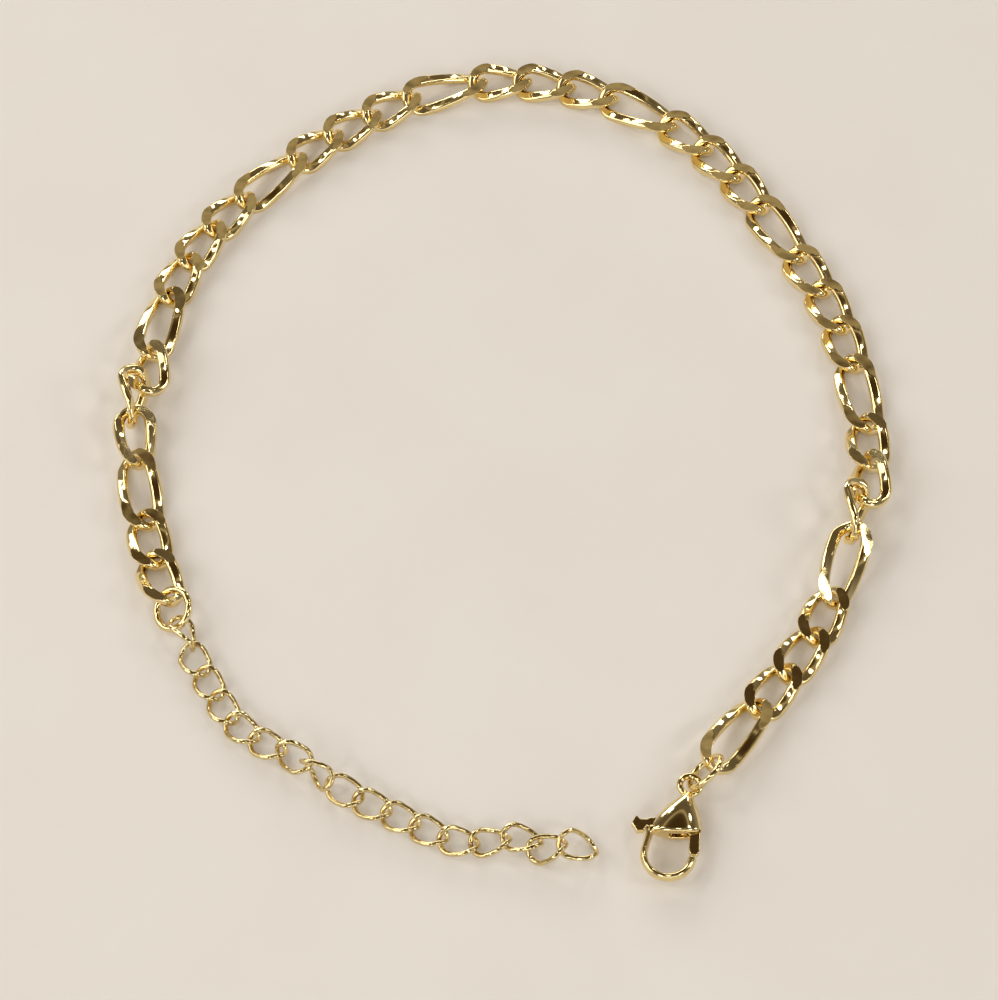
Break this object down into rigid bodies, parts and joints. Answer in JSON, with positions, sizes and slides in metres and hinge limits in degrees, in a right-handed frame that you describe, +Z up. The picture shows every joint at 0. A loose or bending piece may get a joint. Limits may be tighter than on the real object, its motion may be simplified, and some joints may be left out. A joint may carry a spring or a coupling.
{
  "type": "link bracelet",
  "caption": "Polished gold-coloured figaro chain bracelet with a lobster clasp and an extender chain, lying unfastened in an open loop.",
  "frame": {"origin": "on the surface that the bracelet lies on, under the centre of its outline", "axes": "+Z up; +Y towards the far side of the loop, away from the clasp and the free end of the extender; +X from the extender's side to the clasp's side"},
  "size_m": [0.082, 0.1026, 0.005],
  "materials": {
    "link_gold": "mirror-polished yellow gold plate, filed flat on two faces",
    "fine_gold": "polished yellow gold plate on thin wire",
    "ring_gold": "polished yellow gold plate on round wire",
    "clasp_gold": "polished yellow gold plate on a cast body",
    "lever_gold": "polished yellow gold plate on a flat lever"
  },
  "bodies": {
    "chain": {"link_01": "link_gold", "link_02": "link_gold", "link_03": "link_gold", "link_04": "link_gold", "link_05": "link_gold", "link_06": "link_gold", "link_07": "link_gold", "link_08": "link_gold", "link_09": "link_gold", "link_10": "link_gold", "link_11": "link_gold", "link_12": "link_gold", "link_13": "link_gold", "link_14": "link_gold", "link_15": "link_gold", "link_16": "link_gold", "link_17": "link_gold", "link_18": "link_gold", "link_19": "link_gold", "link_20": "link_gold", "link_21": "link_gold", "link_22": "link_gold", "link_23": "link_gold", "link_24": "link_gold", "link_25": "link_gold", "link_26": "link_gold", "link_27": "link_gold", "link_28": "link_gold", "link_29": "link_gold", "link_30": "link_gold", "link_31": "link_gold", "link_32": "link_gold", "link_33": "link_gold", "link_34": "link_gold", "link_35": "link_gold", "end_ring": "ring_gold", "extender_chain": "fine_gold", "clasp_ring": "ring_gold", "clasp_body": "clasp_gold"},
    "lever": {"clasp_lever": "lever_gold"}
  },
  "joints": [
    {"name": "lever_hinge", "type": "hinge", "parent": "chain", "child": "lever", "pos_m": [0.01567, -0.04518, 0.0013], "axis": [0, 0, -1], "range_deg": [0, 25], "stiffness_Nm_per_rad": 0.002, "springref_deg": -11.46}
  ]
}
